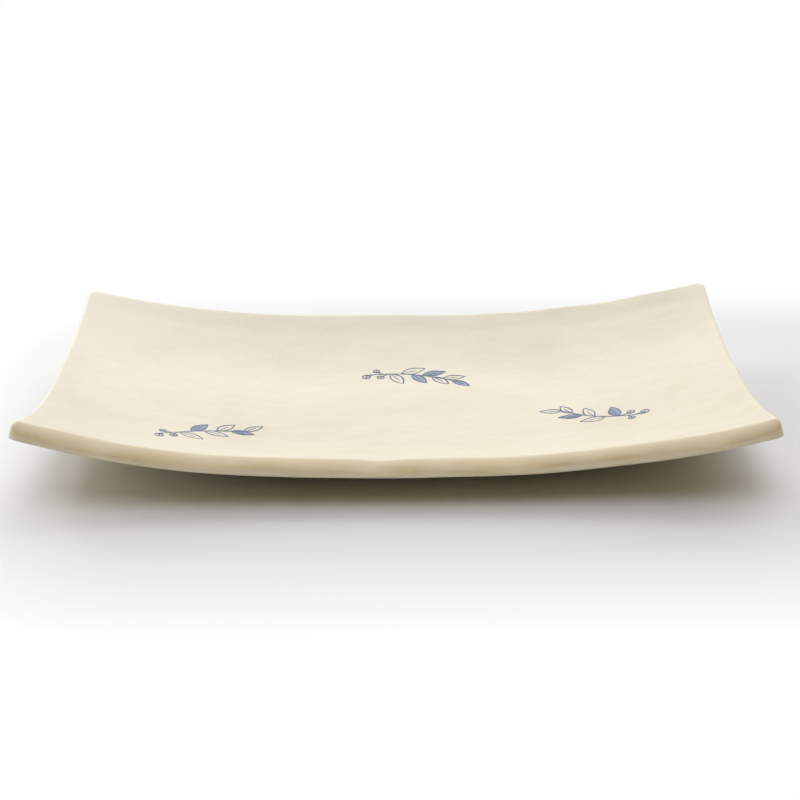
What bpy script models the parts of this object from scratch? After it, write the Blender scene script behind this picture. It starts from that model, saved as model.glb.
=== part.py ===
"""Rectangular slab plate: a bent stoneware slab and the two glaze coats fired onto it.

The slab lies with its length along X and its front edge towards -Y. The origin is in the middle of
the flat, bare patch of the underside that the plate stands on. Sizes are in metres.
"""

import math

import bmesh
import bpy
from mathutils import Vector

# Overall plan of the glazed plate, and how far the middle of each edge is drawn in
LENGTH = 0.250
WIDTH = 0.150
END_BOW = 0.0008
SIDE_BOW = 0.0009

# Clay slab, its rounded corners and its softened edges
CLAY_THICKNESS = 0.0049
CORNER_RADIUS = 0.0025
UPPER_ARRIS = 0.0012
LOWER_ARRIS = 0.0006

# Glaze coats, the gap that each keeps to the clay under it, and the joint between them
GLAZE_THICKNESS = 0.0004
GLAZE_SEAT = 0.0003
GLAZE_JOINT = 0.0005

# Flat patch of the underside, which stands on the table
FLAT_LENGTH = 0.050
FLAT_WIDTH = 0.050

# How far the underside rises from the flat patch to the middle of each edge and to each corner
LEFT_END_RISE = 0.0177
RIGHT_END_RISE = 0.0176
FRONT_SIDE_RISE = 0.0121
BACK_SIDE_RISE = 0.0151
FRONT_LEFT_RISE = 0.0267
FRONT_RIGHT_RISE = 0.0247
BACK_LEFT_RISE = 0.0254
BACK_RIGHT_RISE = 0.0264

# Exponents of the bend: 2 is a plain parabola, less starts to rise sooner
END_BEND = 2.1
SIDE_BEND = 1.9

# Bare foot: the back glaze is wiped off wherever it would come nearer to the table than this
GLAZE_TO_TABLE = 0.0004
FOOT_CORNER_RADIUS = 0.020

# Mesh fineness, and how much wider than the arris the outermost cells are
LENGTH_CELLS = 30
WIDTH_CELLS = 20
RIM_CELLS = 3
ARRIS_SEGMENTS = 3
ARRIS_MARGIN = 0.0005
FOOT_CORNER_SEGMENTS = 6

# Zones of the slab's surface, kept as a number on each of its faces
UNDERSIDE, EDGE, FACE, LOWER_ROUND, UPPER_ROUND = range(5)

# Colours: linear red, green and blue
STONEWARE_COLOUR = (0.55, 0.44, 0.29)
FACE_GLAZE_COLOUR = (0.83, 0.76, 0.62)
BACK_GLAZE_COLOUR = (0.76, 0.67, 0.51)

# The clay is smaller than the finished plate by the coat that covers its edge
COAT = GLAZE_SEAT + GLAZE_THICKNESS
HALF_LENGTH = LENGTH / 2 - COAT
HALF_WIDTH = WIDTH / 2 - COAT


def clear_scene():
    """Remove the objects that a new file starts with."""
    for obj in list(bpy.data.objects):
        bpy.data.objects.remove(obj, do_unlink=True)


def new_collection(name):
    """Make a collection in the scene."""
    collection = bpy.data.collections.new(name)
    bpy.context.scene.collection.children.link(collection)
    return collection


def new_material(name, colour, roughness):
    """Make a ceramic material: a coloured, non-metallic surface."""
    material = bpy.data.materials.new(name)
    material.use_nodes = True
    shader = material.node_tree.nodes["Principled BSDF"]
    shader.inputs["Base Color"].default_value = (*colour, 1.0)
    shader.inputs["Roughness"].default_value = roughness
    shader.inputs["Metallic"].default_value = 0.0
    material.diffuse_color = (*colour, 1.0)
    return material


def new_object(name, mesh, collection, material=None):
    """Link a mesh into a collection as a smooth-shaded object."""
    obj = bpy.data.objects.new(name, mesh)
    collection.objects.link(obj)
    if material:
        mesh.materials.append(material)
    mesh.shade_smooth()
    return obj


def bend(distance, half, flat, exponent):
    """Share of an edge's rise at this distance from the middle: 0 on the flat patch, 1 at the edge."""
    flat_half = flat / 2
    return max(0.0, (abs(distance) - flat_half) / (half - flat_half)) ** exponent


def underside_height(x, y):
    """Height of the slab's underside over the table."""
    end_rise = LEFT_END_RISE if x < 0 else RIGHT_END_RISE
    side_rise = FRONT_SIDE_RISE if y < 0 else BACK_SIDE_RISE
    if y < 0:
        corner_rise = FRONT_LEFT_RISE if x < 0 else FRONT_RIGHT_RISE
    else:
        corner_rise = BACK_LEFT_RISE if x < 0 else BACK_RIGHT_RISE
    along = bend(x, HALF_LENGTH, FLAT_LENGTH, END_BEND)
    across = bend(y, HALF_WIDTH, FLAT_WIDTH, SIDE_BEND)
    extra = corner_rise - end_rise - side_rise
    return end_rise * along + side_rise * across + extra * along * across


def rim_inset(ring):
    """Distance from the edge to a ring of the grid: the outermost cell leaves room for the arris."""
    if ring == 0:
        return 0.0
    arris_room = max(UPPER_ARRIS, LOWER_ARRIS) + ARRIS_MARGIN
    return arris_room + (CORNER_RADIUS - arris_room) * (ring - 1) / (RIM_CELLS - 1)


def line_place(cells, count, half):
    """Distance from the middle to the grid line that lies this many cells in from the edge."""
    if cells < RIM_CELLS:
        return half - rim_inset(cells)
    return (half - CORNER_RADIUS) * (1 - (cells - RIM_CELLS) / (count / 2 - RIM_CELLS))


def plan_place(column, row):
    """Plan place of a grid point: even cells inside, rings round the rim and arcs in the corners."""
    side_x = math.copysign(1, column - LENGTH_CELLS / 2)
    side_y = math.copysign(1, row - WIDTH_CELLS / 2)
    cells_x = min(column, LENGTH_CELLS - column)
    cells_y = min(row, WIDTH_CELLS - row)
    x = line_place(cells_x, LENGTH_CELLS, HALF_LENGTH)
    y = line_place(cells_y, WIDTH_CELLS, HALF_WIDTH)
    if max(cells_x, cells_y) < RIM_CELLS:
        ring = min(cells_x, cells_y)
        span = RIM_CELLS - ring
        eighths = (RIM_CELLS - cells_y) / span if cells_x == ring else 2 - (RIM_CELLS - cells_x) / span
        radius = CORNER_RADIUS - rim_inset(ring)
        x = HALF_LENGTH - CORNER_RADIUS + radius * math.cos(eighths * math.pi / 4)
        y = HALF_WIDTH - CORNER_RADIUS + radius * math.sin(eighths * math.pi / 4)
    return side_x * x, side_y * y


def drawn_in(x, y):
    """Draw the middles of the ends and sides in, and leave the corners where they are."""
    to_end = x / HALF_LENGTH
    to_side = y / HALF_WIDTH
    return x - END_BOW * to_end * (1 - to_side**2), y - SIDE_BOW * to_side * (1 - to_end**2)


def underside_point(grid_x, grid_y):
    """Point of the underside for a grid place between -1 and 1 each way."""
    column = round((grid_x + 1) / 2 * LENGTH_CELLS)
    row = round((grid_y + 1) / 2 * WIDTH_CELLS)
    x, y = drawn_in(*plan_place(column, row))
    return Vector((x, y, underside_height(x, y)))


def edges_between(bm, zone, first, second):
    """Edges where a face of one zone meets a face of another."""
    wanted = {first, second}
    return [e for e in bm.edges if {face[zone] for face in e.link_faces} == wanted]


def round_edge(bm, zone, between, radius, new_zone):
    """Round the arris between two zones, and mark the new faces."""
    result = bmesh.ops.bevel(
        bm,
        geom=edges_between(bm, zone, *between),
        offset=radius,
        offset_type="OFFSET",
        segments=ARRIS_SEGMENTS,
        profile=0.5,
        affect="EDGES",
    )
    for face in result["faces"]:
        face[zone] = new_zone


def make_clay_slab(collection):
    """Bend a gridded sheet into the underside, thicken it along its normals and round its edges."""
    bm = bmesh.new()
    bmesh.ops.create_grid(bm, x_segments=LENGTH_CELLS, y_segments=WIDTH_CELLS, size=1.0)
    zone = bm.faces.layers.int.new("zone")
    sheet = bm.faces[:]
    points = bm.verts[:]
    for vert in points:
        vert.co = underside_point(vert.co.x, vert.co.y)
    bm.normal_update()
    normals = [vert.normal.copy() for vert in points]

    copied = bmesh.ops.extrude_face_region(bm, geom=sheet)["geom"]
    for vert, normal in zip(points, normals):
        vert.co += normal * CLAY_THICKNESS
    underside = [item for item in copied if isinstance(item, bmesh.types.BMFace)]
    for faces, number in ((bm.faces, EDGE), (sheet, FACE), (underside, UNDERSIDE)):
        for face in faces:
            face[zone] = number
    bmesh.ops.recalc_face_normals(bm, faces=bm.faces[:])

    round_edge(bm, zone, (FACE, EDGE), UPPER_ARRIS, UPPER_ROUND)
    round_edge(bm, zone, (UNDERSIDE, EDGE), LOWER_ARRIS, LOWER_ROUND)
    # Twisted cells are split here, so that the coats are split alike and keep their gap
    bmesh.ops.triangulate(bm, faces=bm.faces[:])

    mesh = bpy.data.meshes.new("clay_slab")
    bm.to_mesh(mesh)
    bm.free()
    stoneware = new_material("bare_stoneware", STONEWARE_COLOUR, 0.85)
    return new_object("clay_slab", mesh, collection, stoneware)


def make_glaze(name, slab, zones, collection, material, drawn_back=0.0):
    """Lift zones of the slab's surface off it as a skin, drawn back from its rim, and thicken it outwards."""
    bm = bmesh.new()
    bm.from_mesh(slab.data)
    zone = bm.faces.layers.int["zone"]
    unglazed = [face for face in bm.faces if face[zone] not in zones]
    bmesh.ops.delete(bm, geom=unglazed, context="FACES")
    if drawn_back:
        rim = bmesh.ops.inset_region(bm, faces=bm.faces[:], thickness=drawn_back, use_boundary=True)
        bmesh.ops.delete(bm, geom=rim["faces"], context="FACES")
    mesh = bpy.data.meshes.new(name)
    bm.to_mesh(mesh)
    bm.free()

    coat = new_object(name, mesh, collection, material)
    coat.parent = slab
    seat = coat.modifiers.new("seat", "DISPLACE")
    seat.strength = GLAZE_SEAT
    seat.mid_level = 0.0
    body = coat.modifiers.new("coat", "SOLIDIFY")
    body.thickness = GLAZE_THICKNESS
    body.offset = 1.0
    body.use_even_offset = True
    return coat


def reach(height, rise, half, flat, exponent):
    """Distance from the middle at which the underside has risen this far."""
    return flat / 2 + (half - flat / 2) * (height / rise) ** (1 / exponent)


def make_foot_wipe(collection):
    """Cutter for the bare foot: an upright block with rounded corners, through the back glaze."""
    clear_height = COAT + GLAZE_TO_TABLE
    end_rise = min(LEFT_END_RISE, RIGHT_END_RISE)
    side_rise = min(FRONT_SIDE_RISE, BACK_SIDE_RISE)
    half_length = reach(clear_height, end_rise, HALF_LENGTH, FLAT_LENGTH, END_BEND)
    half_width = reach(clear_height, side_rise, HALF_WIDTH, FLAT_WIDTH, SIDE_BEND)
    half_height = COAT + CLAY_THICKNESS / 2

    bm = bmesh.new()
    bmesh.ops.create_cube(bm, size=2.0)
    bmesh.ops.scale(bm, verts=bm.verts, vec=(half_length, half_width, half_height))
    upright = [e for e in bm.edges if abs(e.verts[0].co.z - e.verts[1].co.z) > half_height]
    bmesh.ops.bevel(
        bm,
        geom=upright,
        offset=FOOT_CORNER_RADIUS,
        segments=FOOT_CORNER_SEGMENTS,
        profile=0.5,
        affect="EDGES",
    )
    mesh = bpy.data.meshes.new("foot_wipe")
    bm.to_mesh(mesh)
    bm.free()
    wipe = new_object("foot_wipe", mesh, collection)
    wipe.hide_render = True
    wipe.display_type = "WIRE"
    print(f"bare foot {2000 * half_length:.1f} x {2000 * half_width:.1f} mm")
    return wipe


def report(objects):
    """Print each piece's box and lowest point, in millimetres."""
    graph = bpy.context.evaluated_depsgraph_get()
    for obj in objects:
        mesh = obj.evaluated_get(graph).to_mesh()
        points = [obj.matrix_world @ vert.co for vert in mesh.vertices]
        sizes = []
        for axis in range(3):
            places = [point[axis] for point in points]
            sizes.append(1000 * (max(places) - min(places)))
        lowest = 1000 * min(point.z for point in points)
        size_text = " x ".join(f"{size:.2f}" for size in sizes)
        print(f"{obj.name}: {size_text} mm, lowest {lowest:.2f} mm, {len(mesh.polygons)} faces")


def build_plate():
    """Make the slab, then the coats on it: the face coat laps round the edge and meets the back coat."""
    clear_scene()
    parts = new_collection("rectangular_plate")
    cutters = new_collection("cutters")
    slab = make_clay_slab(parts)
    face_coat = new_material("cream_face_glaze", FACE_GLAZE_COLOUR, 0.38)
    back_coat = new_material("cream_back_glaze", BACK_GLAZE_COLOUR, 0.42)
    face_zones = {FACE, UPPER_ROUND, EDGE, LOWER_ROUND}
    face = make_glaze("face_glaze", slab, face_zones, parts, face_coat)
    back = make_glaze("back_glaze", slab, {UNDERSIDE}, parts, back_coat, GLAZE_JOINT)
    wiped = back.modifiers.new("bare foot", "BOOLEAN")
    wiped.operation = "DIFFERENCE"
    wiped.object = make_foot_wipe(cutters)
    bpy.context.view_layer.update()
    report([slab, face, back])


build_plate()
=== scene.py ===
# %% [markdown]
# # A rectangular stoneware plate
#
# The object is a plate made by hand from one rolled slab of clay. Its ends, long sides and corners
# are bent up, its edges are softened with a sponge, and it is glazed in cream and painted with a few
# blue brush strokes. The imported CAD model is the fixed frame: three nodes, the clay and its two coats
# of glaze, on one body. They could stay, with better materials, but a glossy surface shows every
# facet, so each node is replaced by a finer mesh of the same shape in the same place.

# %% Load the frame
import math

import bmesh
import bpy
from mathutils import Matrix, Vector, noise
from mathutils.bvhtree import BVHTree


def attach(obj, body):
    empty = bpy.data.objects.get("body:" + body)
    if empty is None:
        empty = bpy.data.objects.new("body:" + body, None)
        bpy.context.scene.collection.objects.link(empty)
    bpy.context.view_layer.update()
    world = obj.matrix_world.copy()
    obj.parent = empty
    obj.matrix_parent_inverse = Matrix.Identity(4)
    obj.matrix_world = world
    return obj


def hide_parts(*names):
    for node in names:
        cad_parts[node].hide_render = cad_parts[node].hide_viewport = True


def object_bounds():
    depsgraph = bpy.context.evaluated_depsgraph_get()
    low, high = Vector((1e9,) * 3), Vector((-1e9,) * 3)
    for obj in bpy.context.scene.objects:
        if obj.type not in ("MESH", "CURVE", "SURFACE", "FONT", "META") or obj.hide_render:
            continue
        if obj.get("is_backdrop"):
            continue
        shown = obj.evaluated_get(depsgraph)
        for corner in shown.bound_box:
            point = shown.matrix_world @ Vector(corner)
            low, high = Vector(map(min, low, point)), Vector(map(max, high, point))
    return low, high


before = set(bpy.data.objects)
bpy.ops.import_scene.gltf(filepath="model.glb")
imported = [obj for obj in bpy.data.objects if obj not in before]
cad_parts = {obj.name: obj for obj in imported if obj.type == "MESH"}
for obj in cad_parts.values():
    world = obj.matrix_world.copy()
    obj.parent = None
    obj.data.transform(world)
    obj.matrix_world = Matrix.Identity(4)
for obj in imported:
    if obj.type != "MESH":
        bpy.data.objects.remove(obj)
cad_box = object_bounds()
print("CAD nodes:", sorted(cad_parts))
print("CAD box in metres:", [tuple(round(place, 4) for place in corner) for corner in cad_box])

# %% [markdown]
# ## The bend of the slab
#
# The slab is flat in the middle, where it stands, and rises to its edges and most of all to its
# corners. A flat sheet could be bent with a lattice or sculpted, but the CAD model has its bend as a
# short formula. The same formula here keeps the finer mesh where the CAD is, however fine it gets.
# Sizes are written in millimetres, as on a bench, and become metres where they are named.

# %% The bend of the slab
MM = 0.001
LENGTH = 250.0 * MM
WIDTH = 150.0 * MM
CLAY = 4.9 * MM
COAT = 0.7 * MM
FLAT = 25.0 * MM
END_BEND = 2.1
SIDE_BEND = 1.9
LEFT, RIGHT = -1, 1
FRONT, BACK = -1, 1
END_RISE = {LEFT: 17.7 * MM, RIGHT: 17.6 * MM}
SIDE_RISE = {FRONT: 12.1 * MM, BACK: 15.1 * MM}
CORNER_RISE = {
    (LEFT, FRONT): 26.7 * MM,
    (RIGHT, FRONT): 24.7 * MM,
    (LEFT, BACK): 25.4 * MM,
    (RIGHT, BACK): 26.4 * MM,
}


def half_of(place):
    """-1 on the left or front half of the plate, 1 on the right or back half."""
    return -1 if place < 0 else 1


def bend(place, half, power):
    """Share of an edge's rise this far from the middle: 0 on the flat, 1 at the edge of the clay."""
    return max(0.0, (abs(place) - FLAT) / (half - COAT - FLAT)) ** power


def bent_height(x, y):
    """Height of the clay's underside over the table."""
    along = bend(x, LENGTH / 2, END_BEND)
    across = bend(y, WIDTH / 2, SIDE_BEND)
    end = END_RISE[half_of(x)]
    side = SIDE_RISE[half_of(y)]
    corner = CORNER_RISE[half_of(x), half_of(y)]
    return end * along + side * across + (corner - end - side) * along * across


print(f"underside 100 mm along the middle: {bent_height(0.1, 0) / MM:.1f} mm over the table")

# %% [markdown]
# ## The unevenness that a hand leaves
#
# A rolled and hand-bent slab is never exact. Its edges wander by part of a millimetre, its middles
# are drawn in as it dries, and here and there a finger has left a dent or a lift. A Displace modifier
# could add bumps to one mesh, but the clay, both coats and the paint have to move together, so the
# unevenness is part of the formula. The dents and lifts are listed, each by its place along the
# edge and its height in millimetres. The rest is Blender's noise, the same on every run.

# %% The unevenness that a hand leaves
SIDE_DRAWN_IN = 0.9 * MM
END_DRAWN_IN = 0.8 * MM
EDGE_WANDER = 0.12 * MM
EDGE_WANDER_LENGTH = 32.0 * MM
BROAD_WAVE = 0.08 * MM
BROAD_WAVE_LENGTH = 55.0 * MM
SMALL_WAVE = 0.05 * MM
SMALL_WAVE_LENGTH = 20.0 * MM
WAVE_GROWTH = 1.5
END_DENT_REACH = 17.0 * MM
END_DENTS = {
    LEFT: ((-20, -0.5), (35, 0.5), (80, -1.1)),
    RIGHT: ((38, 0.5), (80, -0.7)),
}
SIDE_LIFT_REACH = 21.0 * MM
SIDE_LIFTS = {
    FRONT: ((-45, 0.3), (0, -0.45), (70, 0.45)),
    BACK: ((20, -0.3), (75, 0.25)),
}


def wander(x, y, size, pattern):
    """Smooth noise from about -1 to 1, with bumps of this size. Each pattern number is its own field."""
    return noise.noise(Vector((x / size, y / size, pattern + 0.5)))


def unevenness(bumps, place, reach):
    """Sum of soft bumps along an edge: each has a place along it and a height, in millimetres."""
    return sum(rise * MM * math.exp(-(((place - at * MM) / reach) ** 2)) for at, rise in bumps)


def worked_plan(x, y):
    """Where a point of the exact plan comes to lie in the plan that the hand has worked."""
    to_end = x / (LENGTH / 2)
    to_side = y / (WIDTH / 2)
    end_push = unevenness(END_DENTS[half_of(x)], y, END_DENT_REACH)
    end_push += EDGE_WANDER * wander(x, y, EDGE_WANDER_LENGTH, 1)
    side_push = EDGE_WANDER * wander(x, y, EDGE_WANDER_LENGTH, 2)
    worked_x = x - END_DRAWN_IN * to_end * (1 - to_side**2) + end_push * to_end**3
    worked_y = y - SIDE_DRAWN_IN * to_side * (1 - to_end**2) + side_push * to_side**3
    return worked_x, worked_y


def waviness(x, y):
    """How far the slab lies over or under its exact bend: not at all on the flat that it stands on."""
    lifted = min(1.0, WAVE_GROWTH * (bend(x, LENGTH / 2, 1) + bend(y, WIDTH / 2, 1)))
    waves = BROAD_WAVE * wander(x, y, BROAD_WAVE_LENGTH, 3)
    waves += SMALL_WAVE * wander(x, y, SMALL_WAVE_LENGTH, 4)
    lift = unevenness(SIDE_LIFTS[half_of(y)], x, SIDE_LIFT_REACH) * abs(y / (WIDTH / 2)) ** 3
    return lifted * (waves + lift)


print(f"the outline wanders by up to about {EDGE_WANDER / MM:.2f} mm")

# %% [markdown]
# ## Any point of the plate
#
# Every piece below is a layer of the same bent slab, so all of them ask one question: where is the
# point at this plan place and at this height within the slab? The height is measured square to the
# slab, which keeps its thickness where it is bent. The direction square to it comes from four
# neighbouring points, which is simpler than working out slopes by hand.

# %% Any point of the plate
SLOPE_STEP = 0.5 * MM


def underside_point(x, y):
    """Point of the clay's underside at a plan place."""
    x, y = worked_plan(x, y)
    return Vector((x, y, bent_height(x, y) + waviness(x, y)))


def slab_point(x, y, height):
    """Point of the plate at a plan place, this far over the clay's underside and square to it."""
    along = underside_point(x + SLOPE_STEP, y) - underside_point(x - SLOPE_STEP, y)
    across = underside_point(x, y + SLOPE_STEP) - underside_point(x, y - SLOPE_STEP)
    return underside_point(x, y) + height * along.cross(across).normalized()


corner_point = slab_point(-LENGTH / 2, -WIDTH / 2, CLAY + COAT)
print("front left corner of the face:", [round(place / MM, 1) for place in corner_point], "mm")

# %% [markdown]
# ## A grid that ends in a rounded rim
#
# The face and the underside are both grids of four-sided faces with rounded corners. A subdivided
# plane with a bevelled corner would crowd its faces there. Instead the outermost cells of a plain
# grid become rings: along the sides they follow the edge, and in the corners each ring is drawn to
# its own arc. The rings stay whole all the way round, so an edge can be rolled over ring by ring.

# %% A grid that ends in a rounded rim
COLUMNS = 124
ROWS = 76
RIM_RINGS = 9
CORNER = 4.0 * MM
STRAIGHT = Vector((LENGTH / 2 - CORNER, WIDTH / 2 - CORNER))


def even_place(cells, count, straight):
    """Distance from the middle of a grid line that lies this many cells in from the rim."""
    return straight * (1 - (cells - RIM_RINGS) / (count / 2 - RIM_RINGS))


def rim_place(column, row):
    """A grid point's ring, its foot on the outline and the way out; inside the rim, its plan place."""
    side_x = -1 if column < COLUMNS / 2 else 1
    side_y = -1 if row < ROWS / 2 else 1
    cells_x = min(column, COLUMNS - column)
    cells_y = min(row, ROWS - row)
    ring = min(cells_x, cells_y, RIM_RINGS)
    even_x = side_x * even_place(cells_x, COLUMNS, STRAIGHT.x)
    even_y = side_y * even_place(cells_y, ROWS, STRAIGHT.y)
    if ring == RIM_RINGS:
        return ring, Vector((even_x, even_y)), Vector((0, 0))
    if max(cells_x, cells_y) < RIM_RINGS:
        span = RIM_RINGS - ring
        turn = (RIM_RINGS - cells_y) / span if cells_x == ring else 2 - (RIM_RINGS - cells_x) / span
        out = Vector((side_x * math.cos(turn * math.pi / 4), side_y * math.sin(turn * math.pi / 4)))
        return ring, Vector((side_x * STRAIGHT.x, side_y * STRAIGHT.y)) + CORNER * out, out
    if cells_x < cells_y:
        return ring, Vector((side_x * LENGTH / 2, even_y)), Vector((side_x, 0))
    return ring, Vector((even_x, side_y * WIDTH / 2)), Vector((0, side_y))


def ring_walk(ring):
    """Grid points of one ring, in order round the plate."""
    last_column, last_row = COLUMNS - ring, ROWS - ring
    front = [(column, ring) for column in range(ring, last_column)]
    right = [(last_column, row) for row in range(ring, last_row)]
    back = [(column, last_row) for column in range(last_column, ring, -1)]
    left = [(ring, row) for row in range(last_row, ring, -1)]
    return front + right + back + left


print(f"grid of {COLUMNS} x {ROWS} cells, {len(ring_walk(0))} points round the rim")

# %% [markdown]
# ## The finished face
#
# A potter's sponge and fingers leave a shallow hollow behind the lip, a lip that wavers, and one thumb
# dent in the front edge. They could be sculpted, but then the paint would not follow. As one more
# formula, the height of the face over the clay's underside, they reach every layer built on it.

# %% The finished face
FACE_WAVE = 0.10 * MM
FACE_WAVE_LENGTH = 24.0 * MM
LIP_WAVE = 0.7 * MM
LIP_WAVE_LENGTH = 21.0 * MM
LIP_WAVE_DEPTH = 3.0 * MM
LIP_HOLLOW = 0.28 * MM
LIP_HOLLOW_LENGTH = 40.0 * MM
LIP_HOLLOW_PLACE = 9.0 * MM
LIP_HOLLOW_WIDTH = 2.2 * MM
THUMB_DENT = 1.1 * MM
THUMB_PLACE = -6.0 * MM
THUMB_REACH = 6.5 * MM
THUMB_DEPTH = 6.0 * MM


def thumb_dent(x, y):
    """Depth of the shallow dent that a thumb has left in the front lip."""
    along = (x - THUMB_PLACE) / THUMB_REACH
    from_front = max(0.0, y + WIDTH / 2)
    return THUMB_DENT * math.exp(-(along**2) - from_front / THUMB_DEPTH)


def face_height(x, y):
    """Height of the finished face over the clay's underside."""
    from_rim = max(0.0, min(LENGTH / 2 - abs(x), WIDTH / 2 - abs(y)))
    off_hollow = (from_rim - LIP_HOLLOW_PLACE) / LIP_HOLLOW_WIDTH
    hollow = LIP_HOLLOW * math.exp(-(off_hollow**2)) * (1 + wander(x, y, LIP_HOLLOW_LENGTH, 5))
    lip = LIP_WAVE * math.exp(-from_rim / LIP_WAVE_DEPTH) * wander(x, y, LIP_WAVE_LENGTH, 13)
    wave = FACE_WAVE * wander(x, y, FACE_WAVE_LENGTH, 6)
    return CLAY + COAT + wave + lip - hollow - thumb_dent(x, y)


print(f"face {face_height(0.0, 0.0) / MM:.2f} mm over the clay's underside in the middle")

# %% [markdown]
# ## The rounds along the edge
#
# The arrises, the corners where the edge meets the face and the underside, are softened with a wet
# sponge before firing. The upper one is wide along the front and narrower elsewhere, and the lower
# one is sharper. One even radius would look machined, so two helpers give the radius at each place.

# %% The rounds along the edge
FRONT_ROUND = 4.4 * MM
OTHER_ROUND = 1.5 * MM
ROUND_WANDER = 1.2 * MM
ROUND_WANDER_LENGTH = 17.0 * MM
LOWER_ARRIS = 0.75 * MM
LOWER_WANDER = 0.4 * MM
LOWER_WANDER_LENGTH = 11.0 * MM


def upper_round(place, out):
    """Radius of the sponged round at a place of the outline: widest along the front."""
    to_front = max(0.0, -out.y) ** 2
    even = OTHER_ROUND + (FRONT_ROUND - OTHER_ROUND) * to_front
    return even * (1 + ROUND_WANDER / FRONT_ROUND * wander(place.x, place.y, ROUND_WANDER_LENGTH, 7))


def lower_round(place):
    """Radius of the lower arris at a place of the outline."""
    return LOWER_ARRIS + LOWER_WANDER * wander(place.x, place.y, LOWER_WANDER_LENGTH, 8)


front_middle, to_the_front = rim_place(COLUMNS // 2, 0)[1:]
print(f"upper round at the middle of the front: {upper_round(front_middle, to_the_front) / MM:.1f} mm")

# %% [markdown]
# ## The edge, rolled over ring by ring
#
# A Bevel modifier can't follow a radius that wanders, so the rings of the grid are the steps of each
# round. The upper one is drawn part of the way from an arc to a flat, as a sponge leaves it, and meets
# the face at a small angle, which keeps the lip crisp. One number, `inside`, says how far a layer lies
# under the finished surface, so the same lines draw the glaze and the clay beneath it.

# %% The edge, rolled over ring by ring
ARRIS_RINGS = 6
WALL_STEPS = 5
CRISP = math.radians(19)
FACETED = 0.45
EDGE_BULGE = 0.15 * MM
EDGE_BULGE_LENGTH = 25.0 * MM
EVEN_BULGE = 0.4


def past_round(ring, start):
    """Inset of a ring that lies between the end of a round and the plain grid."""
    return start + (CORNER - start) * (ring - ARRIS_RINGS) / (RIM_RINGS - ARRIS_RINGS)


def face_layer_point(column, row, inside):
    """Point of the face's layer, which turns down over the sponged round at its rim."""
    ring, place, out = rim_place(column, row)
    radius = upper_round(place, out)
    start = radius - (radius - inside) * math.sin(CRISP)
    if ring < ARRIS_RINGS:
        share = ring / ARRIS_RINGS
        angle = math.pi / 2 + (CRISP - math.pi / 2) * share
        inset = radius - (radius - inside) * math.sin(angle)
        depth = radius * math.cos(CRISP) - (radius - inside) * math.cos(angle)
        flat_inset = inside + (start - inside) * share
        flat_depth = radius * math.cos(CRISP) * (1 - share) + inside * share
        inset += FACETED * (flat_inset - inset)
        depth += FACETED * (flat_depth - depth)
        depth = max(inside, depth)
    else:
        inset = past_round(ring, start)
        depth = inside
    plan = place - inset * out
    return slab_point(plan.x, plan.y, face_height(plan.x, plan.y) - depth)


def under_layer_point(column, row, inside):
    """Point of the underside's layer, which turns up over the lower arris at its rim."""
    ring, place, out = rim_place(column, row)
    radius = lower_round(place)
    if ring < ARRIS_RINGS:
        angle = ring / ARRIS_RINGS * math.pi / 2
        inset = inside + (radius - inside) * (1 - math.cos(angle))
        drop = (radius - inside) * (1 - math.sin(angle))
    else:
        inset = past_round(ring, radius)
        drop = 0.0
    plan = place - inset * out
    return slab_point(plan.x, plan.y, inside - COAT + drop)


def wall_point(column, row, share, inside):
    """Point of the edge between the two arrises: share 0 at the upper one, 1 at the lower one."""
    place, out = rim_place(column, row)[1:]
    high = face_height(place.x, place.y) - upper_round(place, out) * math.cos(CRISP)
    low = lower_round(place) - COAT
    uneven = EVEN_BULGE + wander(place.x, place.y, EDGE_BULGE_LENGTH, 9)
    swell = EDGE_BULGE * math.sin(share * math.pi) * uneven
    plan = place + (swell - inside) * out
    return slab_point(plan.x, plan.y, high + (low - high) * share)


edge_middle = wall_point(COLUMNS // 2, 0, 0.5, 0.0)
print("middle of the front edge:", [round(place / MM, 1) for place in edge_middle], "mm")

# %% [markdown]
# ## How thin the glaze runs
#
# Melted glaze runs off an edge, so the clay shows through there, most of all along the front. A
# painted mask could say where, but it would not follow a change of shape. Instead each point keeps one
# number, how thin the glaze has run there, and the glaze material reads it later. The number falls
# from the fold towards the lip and the lower arris. This is partly the glaze breaking on the fold and
# partly painted light: a paler lip lit from above and a paler lower band lit by the table.

# %% How thin the glaze runs
BARED = "glaze_run_thin"
BARE_IN_FRONT = 1.0
BARE_ELSEWHERE = 0.15
# Partly painted light: less bare at the lip, as if lit from above, and below, as if lit by the table.
LIP_BARE_AND_PAINTED_LIGHT = 0.5
LOWER_BARE_AND_PAINTED_BOUNCE = 0.55
BARE_WANDER = 0.25
BARE_WANDER_LENGTH = 14.0 * MM
FRONT_SPREAD = 1.5


def how_bare(down, place, out):
    """How thin the glaze has run: thinnest on the fold of the front edge, where down is 0. On the
    round down runs to -1 at the lip, and on the wall to 1 at the lower arris."""
    to_front = min(1.0, max(0.0, -FRONT_SPREAD * out.y))
    thinnest = BARE_ELSEWHERE + (BARE_IN_FRONT - BARE_ELSEWHERE) * to_front
    # Partly painted light: thicker glaze towards the lip and the lower arris stands in for light there.
    share = 1 + (1 - LIP_BARE_AND_PAINTED_LIGHT) * down if down < 0 else 1 - (1 - LOWER_BARE_AND_PAINTED_BOUNCE) * down
    return thinnest * share * (1 + BARE_WANDER * wander(place.x, place.y, BARE_WANDER_LENGTH, 10))


print(f"thin glaze at the middle of the front fold: {how_bare(0, front_middle, to_the_front):.2f}")

# %% [markdown]
# ## Layers of points
#
# The clay and its glaze lie in layers, and each surface of a layer becomes a sheet of points. They
# could be written as whole lists, which is faster, but bmesh lets each point be found again by its
# place in the grid. One helper makes the points, and one fills the cells between them.

# %% Layers of points
def start_mesh():
    """An empty mesh whose points carry the number for thin glaze."""
    bm = bmesh.new()
    bm.verts.layers.float.new(BARED)
    return bm


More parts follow.
